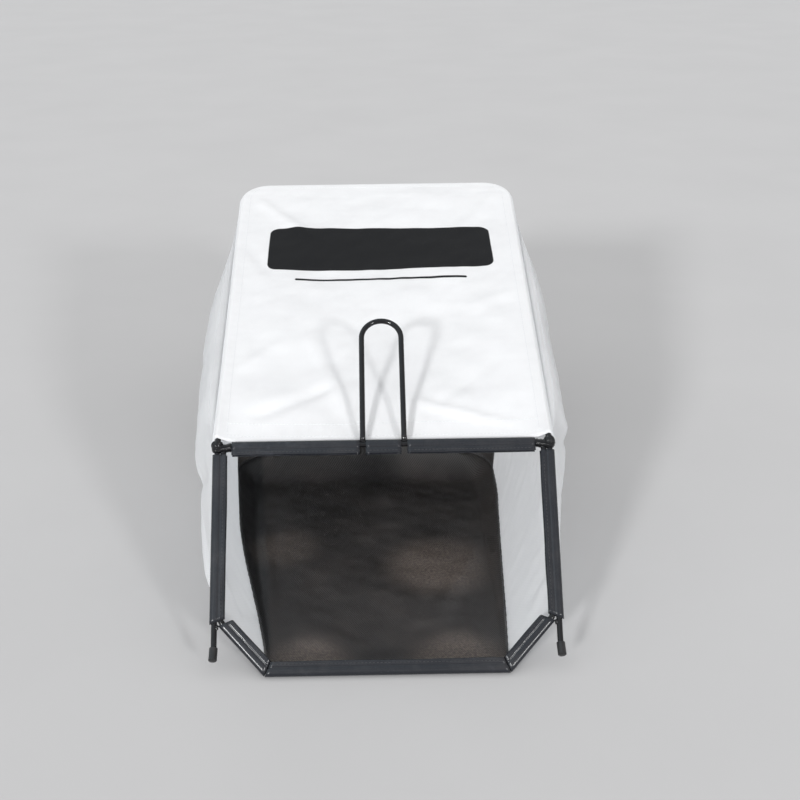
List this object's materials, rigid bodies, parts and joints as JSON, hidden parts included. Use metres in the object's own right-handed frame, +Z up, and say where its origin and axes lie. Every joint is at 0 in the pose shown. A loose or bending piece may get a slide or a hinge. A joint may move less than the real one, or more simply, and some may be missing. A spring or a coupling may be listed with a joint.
{
  "type": "grass catcher",
  "caption": "Rear grass catcher for a walk-behind mower: a sewn white and black fabric bag on a bent steel rod frame, with vinyl channels round its mouth and a wire handle.",
  "frame": {"origin": "middle of the floor panel's flat underside", "axes": "+Y from the mouth to the rear, +Z up, +X to the right when looking into the mouth"},
  "size_m": [0.4578, 0.7393, 0.3547],
  "materials": {
    "black_steel": "gloss black coating",
    "black_vinyl": "soft extruded vinyl with a dull shine",
    "cap_vinyl": "dipped soft vinyl",
    "white_fabric": "woven polyester",
    "black_fabric": "coated woven polyester with a soft sheen",
    "white_piping": "folded binding tape",
    "black_piping": "folded binding tape"
  },
  "bodies": {
    "root": {"mouth_loop": "black_steel", "outer_hoop": "black_steel", "handle_loop": "black_steel", "top_channel_left": "black_vinyl", "top_channel_right": "black_vinyl", "side_channel_left": "black_vinyl", "side_channel_right": "black_vinyl", "corner_channel_left": "black_vinyl", "corner_channel_right": "black_vinyl", "bottom_channel": "black_vinyl", "top_channel_middle": "black_vinyl", "foot_cap_left": "cap_vinyl", "foot_cap_right": "cap_vinyl", "top_panel": "white_fabric", "side_panel_left": "white_fabric", "side_panel_right": "white_fabric", "rear_panel": "black_fabric", "floor_panel": "black_fabric", "top_piping": "white_piping", "floor_piping": "black_piping", "rear_piping_left": "black_piping", "rear_piping_right": "black_piping"}
  },
  "joints": []
}
